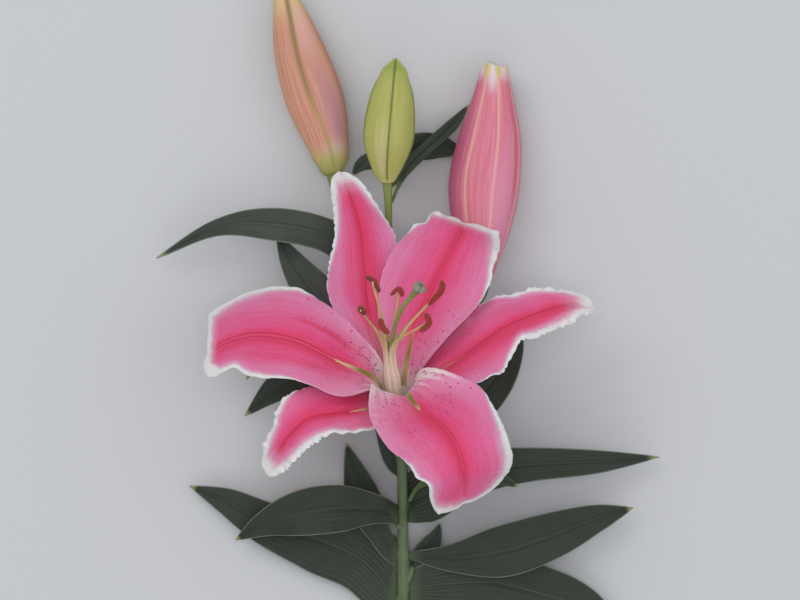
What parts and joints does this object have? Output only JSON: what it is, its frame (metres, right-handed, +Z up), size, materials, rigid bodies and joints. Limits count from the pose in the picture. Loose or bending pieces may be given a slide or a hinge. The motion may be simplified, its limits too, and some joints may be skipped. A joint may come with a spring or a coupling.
{
  "type": "cut lily",
  "caption": "Cut lily stem lying on its side: an open bloom facing up with broad curling petals, stamens and pistil, closed pointed buds on stalks, and long pointed leaves.",
  "frame": {"origin": "centre of the whole flower in plan, on the surface that it lies on", "axes": "+Z up from the surface, +Y along the stem from the cut end towards the buds, +X to the right as seen from above"},
  "size_m": [0.2585, 0.4046, 0.1316],
  "materials": {
    "stem_green": "fresh green stem, slightly waxy, with small pale and dark specks",
    "leaf_green": "dark green leaf with parallel veins, satin",
    "tepal_pink": "pink petal, crimson along the midrib and white at the margin, satin",
    "stamen_green": "pale yellow-green filament, satin",
    "style_green": "olive green style, satin",
    "anther_brown": "red-brown pollen, velvety",
    "stigma_grey": "grey-green, moist",
    "bud_peach": "salmon bud with yellow-green seam, satin",
    "bud_green": "yellow-green bud, satin",
    "bud_pink": "pink bud with cream ribs, satin"
  },
  "bodies": {
    "root": {"stem": "stem_green", "leaf_01": "leaf_green", "leaf_02": "leaf_green", "leaf_03": "leaf_green", "leaf_04": "leaf_green", "leaf_05": "leaf_green", "leaf_06": "leaf_green", "leaf_07": "leaf_green", "leaf_08": "leaf_green", "leaf_09": "leaf_green", "leaf_10": "leaf_green", "leaf_11": "leaf_green", "leaf_12": "leaf_green", "leaf_13": "leaf_green", "leaf_14": "leaf_green", "bract_right": "leaf_green", "bract_low": "leaf_green", "bract_left": "leaf_green", "tepal_outer_upper": "tepal_pink", "tepal_inner_upper": "tepal_pink", "tepal_inner_left": "tepal_pink", "tepal_outer_right": "tepal_pink", "tepal_outer_left": "tepal_pink", "tepal_inner_lower": "tepal_pink", "pistil": "style_green", "stigma": "stigma_grey", "filament_1": "stamen_green", "filament_2": "stamen_green", "filament_3": "stamen_green", "filament_4": "stamen_green", "filament_5": "stamen_green", "filament_6": "stamen_green", "anther_1": "anther_brown", "anther_2": "anther_brown", "anther_3": "anther_brown", "anther_4": "anther_brown", "anther_5": "anther_brown", "anther_6": "anther_brown", "bud_left": "bud_peach", "bud_middle": "bud_green", "bud_right": "bud_pink"}
  },
  "joints": []
}
